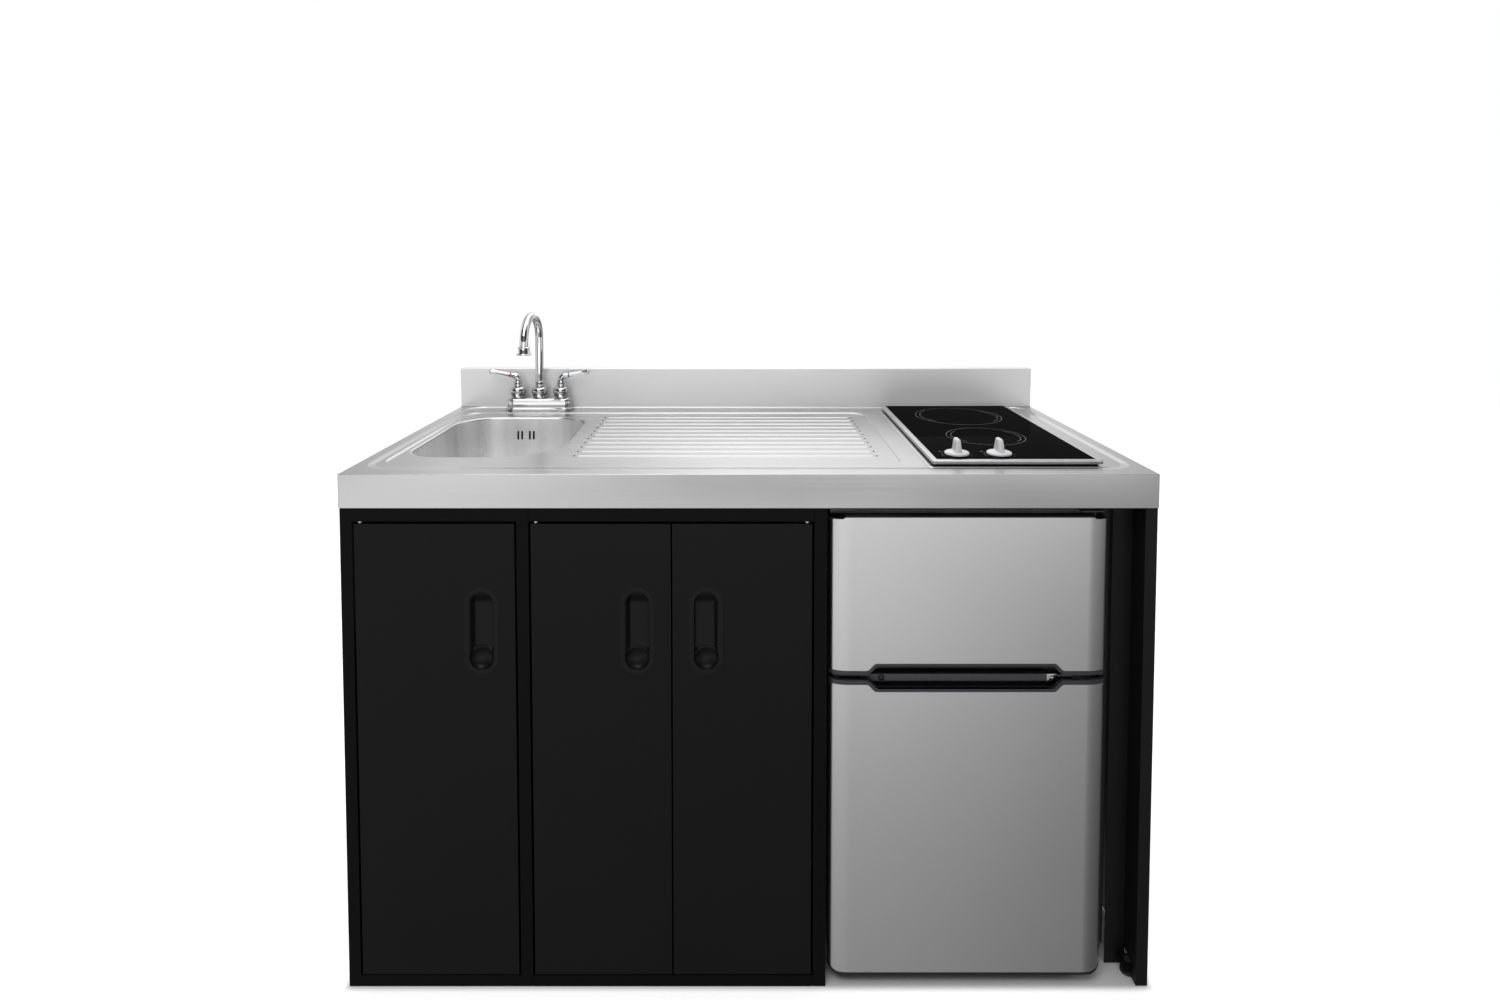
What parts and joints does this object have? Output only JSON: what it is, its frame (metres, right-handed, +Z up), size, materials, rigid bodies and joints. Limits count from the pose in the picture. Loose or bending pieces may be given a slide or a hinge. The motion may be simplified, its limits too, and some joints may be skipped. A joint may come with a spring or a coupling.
{
  "type": "kitchenette unit with sink and hob",
  "caption": "Free-standing kitchenette: pressed steel top with sink, draining board, hob and mixer tap on a black steel cabinet with doors and a bay for a small fridge-freezer.",
  "frame": {"origin": "on the floor, under the middle of the unit's width and depth", "axes": "+X to the right of someone facing the doors, +Y towards the wall behind the unit, +Z up"},
  "size_m": [1.372, 0.63, 1.1247],
  "materials": {
    "black_powder_coat": "satin",
    "insulated_black_body": "satin",
    "insulated_steel_door": "satin",
    "black_plastic": "satin",
    "brushed_steel": "satin",
    "satin_steel": "satin",
    "chrome": "polished",
    "zinc_steel": "satin",
    "black_glass": "polished",
    "clear_plastic": "polished",
    "white_plastic": "satin",
    "seal_rubber": "matte",
    "ceramic_wool": "matte"
  },
  "bodies": {
    "unit": {"left_face_frame": "black_powder_coat", "middle_top_rail": "black_powder_coat", "middle_bottom_rail": "black_powder_coat", "right_post": "black_powder_coat", "left_side_panel": "black_powder_coat", "partition_panel": "black_powder_coat", "bay_side_panel": "black_powder_coat", "cabinet_floor": "black_powder_coat", "cabinet_back_panel": "black_powder_coat", "middle_shelf": "black_powder_coat", "right_end_panel": "black_powder_coat", "hob_box": "black_powder_coat", "compressor": "black_powder_coat", "fridge_case": "insulated_black_body", "front_foot": "black_plastic", "rear_foot": "black_plastic", "left_fridge_foot": "black_plastic", "right_fridge_foot": "black_plastic", "worktop": "brushed_steel", "backsplash": "brushed_steel", "sink_bowl": "satin_steel", "drain_body": "satin_steel", "hob_frame": "satin_steel", "tap_body": "chrome", "left_door_pin": "zinc_steel", "middle_left_door_pin": "zinc_steel", "middle_right_door_pin": "zinc_steel", "hob_switches": "zinc_steel", "top_hinge": "zinc_steel", "centre_hinge": "zinc_steel", "bottom_hinge": "zinc_steel", "hob_glass": "black_glass", "glass_shelf": "clear_plastic", "crisper": "clear_plastic", "drain_trap": "white_plastic", "fridge_liner": "white_plastic", "front_heater": "ceramic_wool", "rear_heater": "ceramic_wool"},
    "left_cabinet_door": {"left_door": "black_powder_coat", "left_door_pull": "black_plastic"},
    "middle_left_cabinet_door": {"middle_left_door": "black_powder_coat", "middle_left_door_pull": "black_plastic"},
    "middle_right_cabinet_door": {"middle_right_door": "black_powder_coat", "middle_right_door_pull": "black_plastic"},
    "freezer_leaf": {"freezer_door": "insulated_steel_door", "freezer_handle": "black_plastic", "freezer_door_liner": "white_plastic", "freezer_gasket": "seal_rubber"},
    "fridge_leaf": {"fridge_door": "insulated_steel_door", "fridge_handle": "black_plastic", "fridge_door_liner": "white_plastic", "fridge_gasket": "seal_rubber"},
    "hot_lever": {"hot_handle": "chrome"},
    "cold_lever": {"cold_handle": "chrome"},
    "spout_arm": {"tap_spout": "chrome", "spout_aerator": "chrome"},
    "left_knob": {"left_hob_knob": "white_plastic"},
    "right_knob": {"right_hob_knob": "white_plastic"},
    "strainer": {"basket_strainer": "chrome"},
    "thermostat": {"thermostat_knob": "white_plastic"}
  },
  "joints": [
    {"name": "cabinet_left_door", "type": "hinge", "parent": "unit", "child": "left_cabinet_door", "pos_m": [-0.653, -0.3055, 0.4], "axis": [0, 0, -1], "range_deg": [0, 105]},
    {"name": "cabinet_middle_left_door", "type": "hinge", "parent": "unit", "child": "middle_left_cabinet_door", "pos_m": [-0.3575, -0.3055, 0.4], "axis": [0, 0, -1], "range_deg": [0, 105]},
    {"name": "cabinet_middle_right_door", "type": "hinge", "parent": "unit", "child": "middle_right_cabinet_door", "pos_m": [0.0988, -0.3055, 0.4], "axis": [0, 0, 1], "range_deg": [0, 105]},
    {"name": "freezer_door_hinge", "type": "hinge", "parent": "unit", "child": "freezer_leaf", "pos_m": [0.59, -0.288, 0.68], "axis": [0, 0, 1], "range_deg": [0, 110]},
    {"name": "fridge_door_hinge", "type": "hinge", "parent": "unit", "child": "fridge_leaf", "pos_m": [0.59, -0.288, 0.28], "axis": [0, 0, 1], "range_deg": [0, 110]},
    {"name": "hot_handle_turn", "type": "hinge", "parent": "unit", "child": "hot_lever", "pos_m": [-0.541, 0.262, 0.96], "axis": [0, 0, 1], "range_deg": [0, 90]},
    {"name": "cold_handle_turn", "type": "hinge", "parent": "unit", "child": "cold_lever", "pos_m": [-0.439, 0.262, 0.96], "axis": [0, 0, -1], "range_deg": [0, 90]},
    {"name": "spout_swivel", "type": "hinge", "parent": "unit", "child": "spout_arm", "pos_m": [-0.49, 0.262, 1], "axis": [0, 0, 1], "range_deg": [-90, 90]},
    {"name": "left_hob_knob_turn", "type": "hinge", "parent": "unit", "child": "left_knob", "pos_m": [0.373, -0.218, 0.91], "axis": [0, 0, -1], "range_deg": [0, 270]},
    {"name": "right_hob_knob_turn", "type": "hinge", "parent": "unit", "child": "right_knob", "pos_m": [0.4485, -0.218, 0.91], "axis": [0, 0, -1], "range_deg": [0, 270]},
    {"name": "thermostat_turn", "type": "hinge", "parent": "unit", "child": "thermostat", "pos_m": [0.568, -0.14, 0.47], "axis": [1, 0, 0], "range_deg": [0, 270]},
    {"name": "strainer_lift", "type": "slide", "parent": "unit", "child": "strainer", "axis": [0, 0, 1], "range_m": [0, 0.08]}
  ]
}
